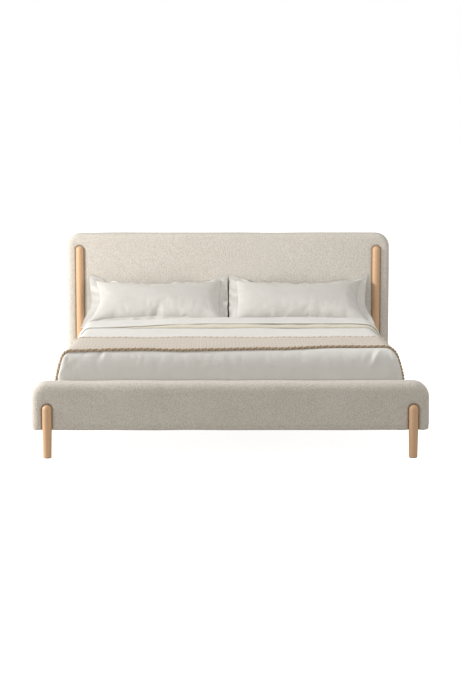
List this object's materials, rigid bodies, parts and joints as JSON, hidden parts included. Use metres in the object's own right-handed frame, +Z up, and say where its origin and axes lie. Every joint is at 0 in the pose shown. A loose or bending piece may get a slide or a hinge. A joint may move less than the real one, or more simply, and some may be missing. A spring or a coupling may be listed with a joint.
{
  "type": "upholstered headboard bed",
  "caption": "Double bed with padded boucle headboard, footboard and side rails, round ash posts and legs let into the padding, sprung slat base, mattress, duvet, throw and pillows.",
  "frame": {"origin": "on the floor under the middle of the bed's outline", "axes": "+Z up, +Y from the footboard to the headboard, X across the bed"},
  "size_m": [2.09, 2.245, 1.1],
  "materials": {
    "boucle": "matte",
    "foam": "matte",
    "ash": "satin",
    "frame_timber": "matte",
    "plywood": "matte",
    "birch_slat": "satin",
    "back_lining": "matte",
    "black_plastic": "matte",
    "black_steel": "satin",
    "zinc_steel": "satin",
    "ticking": "matte",
    "mattress_filling": "matte",
    "sheet_cotton": "matte",
    "duvet_cotton": "matte",
    "duvet_filling": "matte",
    "throw_weave": "matte",
    "pillow_cotton": "matte",
    "pillow_filling": "matte"
  },
  "bodies": {
    "frame": {"headboard_frame": "frame_timber", "headboard_panel": "plywood", "headboard_foam": "foam", "headboard_cover": "boucle", "headboard_lining": "back_lining", "headboard_packers": "frame_timber", "headboard_post_left": "ash", "headboard_post_right": "ash", "headboard_post_bolts": "zinc_steel", "post_glides": "black_plastic", "footboard_frame": "frame_timber", "footboard_panel": "plywood", "footboard_foam": "foam", "footboard_cover": "boucle", "front_leg_left": "ash", "front_leg_right": "ash", "front_leg_bolts": "zinc_steel", "leg_glides": "black_plastic", "side_rail_board_left": "frame_timber", "side_rail_board_right": "frame_timber", "side_rail_foam_left": "foam", "side_rail_foam_right": "foam", "side_rail_cover_left": "boucle", "side_rail_cover_right": "boucle", "ledger_left": "frame_timber", "ledger_right": "frame_timber", "ledger_screws": "zinc_steel", "corner_brackets": "black_steel", "corner_bolts": "zinc_steel", "centre_beam": "frame_timber", "beam_saddles": "black_steel", "saddle_screws": "zinc_steel", "centre_leg_front": "black_steel", "centre_leg_rear": "black_steel", "centre_leg_screws": "zinc_steel", "centre_leg_inserts": "black_plastic", "slats_left": "birch_slat", "slats_right": "birch_slat", "slat_holders_left": "black_plastic", "slat_holders_right": "black_plastic", "slat_holders_centre": "black_plastic"},
    "mattress": {"mattress_cover": "ticking", "mattress_comfort_foam": "mattress_filling", "mattress_spring_core": "mattress_filling", "mattress_base_pad": "mattress_filling", "fitted_sheet": "sheet_cotton"},
    "duvet": {"duvet_cover": "duvet_cotton", "duvet_insert": "duvet_filling"},
    "throw": {"throw": "throw_weave"},
    "pillow_left": {"pillowcase_left": "pillow_cotton", "pillow_insert_left": "pillow_filling"},
    "pillow_right": {"pillowcase_right": "pillow_cotton", "pillow_insert_right": "pillow_filling"},
    "leveller_front": {"leveller_pad_front": "black_plastic"},
    "leveller_rear": {"leveller_pad_rear": "black_plastic"},
    "leveller_screw_front": {"leveller_screw_front": "zinc_steel"},
    "leveller_screw_rear": {"leveller_screw_rear": "zinc_steel"}
  },
  "joints": [
    {"name": "mattress_lift", "type": "slide", "parent": "frame", "child": "mattress", "axis": [0, 0, 1], "range_m": [0, 0.25]},
    {"name": "duvet_lift", "type": "slide", "parent": "mattress", "child": "duvet", "axis": [0, 0, 1], "range_m": [0, 0.4]},
    {"name": "throw_lift", "type": "slide", "parent": "duvet", "child": "throw", "axis": [0, 0, 1], "range_m": [0, 0.4]},
    {"name": "pillow_left_lift", "type": "slide", "parent": "mattress", "child": "pillow_left", "axis": [0, 0, 1], "range_m": [0, 0.4]},
    {"name": "pillow_right_lift", "type": "slide", "parent": "mattress", "child": "pillow_right", "axis": [0, 0, 1], "range_m": [0, 0.4]},
    {"name": "leveller_front_height", "type": "slide", "parent": "frame", "child": "leveller_front", "axis": [0, 0, -1], "range_m": [0, 0.015]},
    {"name": "leveller_front_turn", "type": "hinge", "parent": "leveller_front", "child": "leveller_screw_front", "pos_m": [0, 0, 0.02], "axis": [0, 0, -1], "range_deg": [0, 4320]},
    {"name": "leveller_rear_height", "type": "slide", "parent": "frame", "child": "leveller_rear", "axis": [0, 0, -1], "range_m": [0, 0.015]},
    {"name": "leveller_rear_turn", "type": "hinge", "parent": "leveller_rear", "child": "leveller_screw_rear", "pos_m": [0, 0.55, 0.02], "axis": [0, 0, -1], "range_deg": [0, 4320]}
  ],
  "couplings": [
    {"joint": "leveller_front_height", "follows": "leveller_front_turn", "m_per_rad": 0.00019894},
    {"joint": "leveller_rear_height", "follows": "leveller_rear_turn", "m_per_rad": 0.00019894}
  ]
}
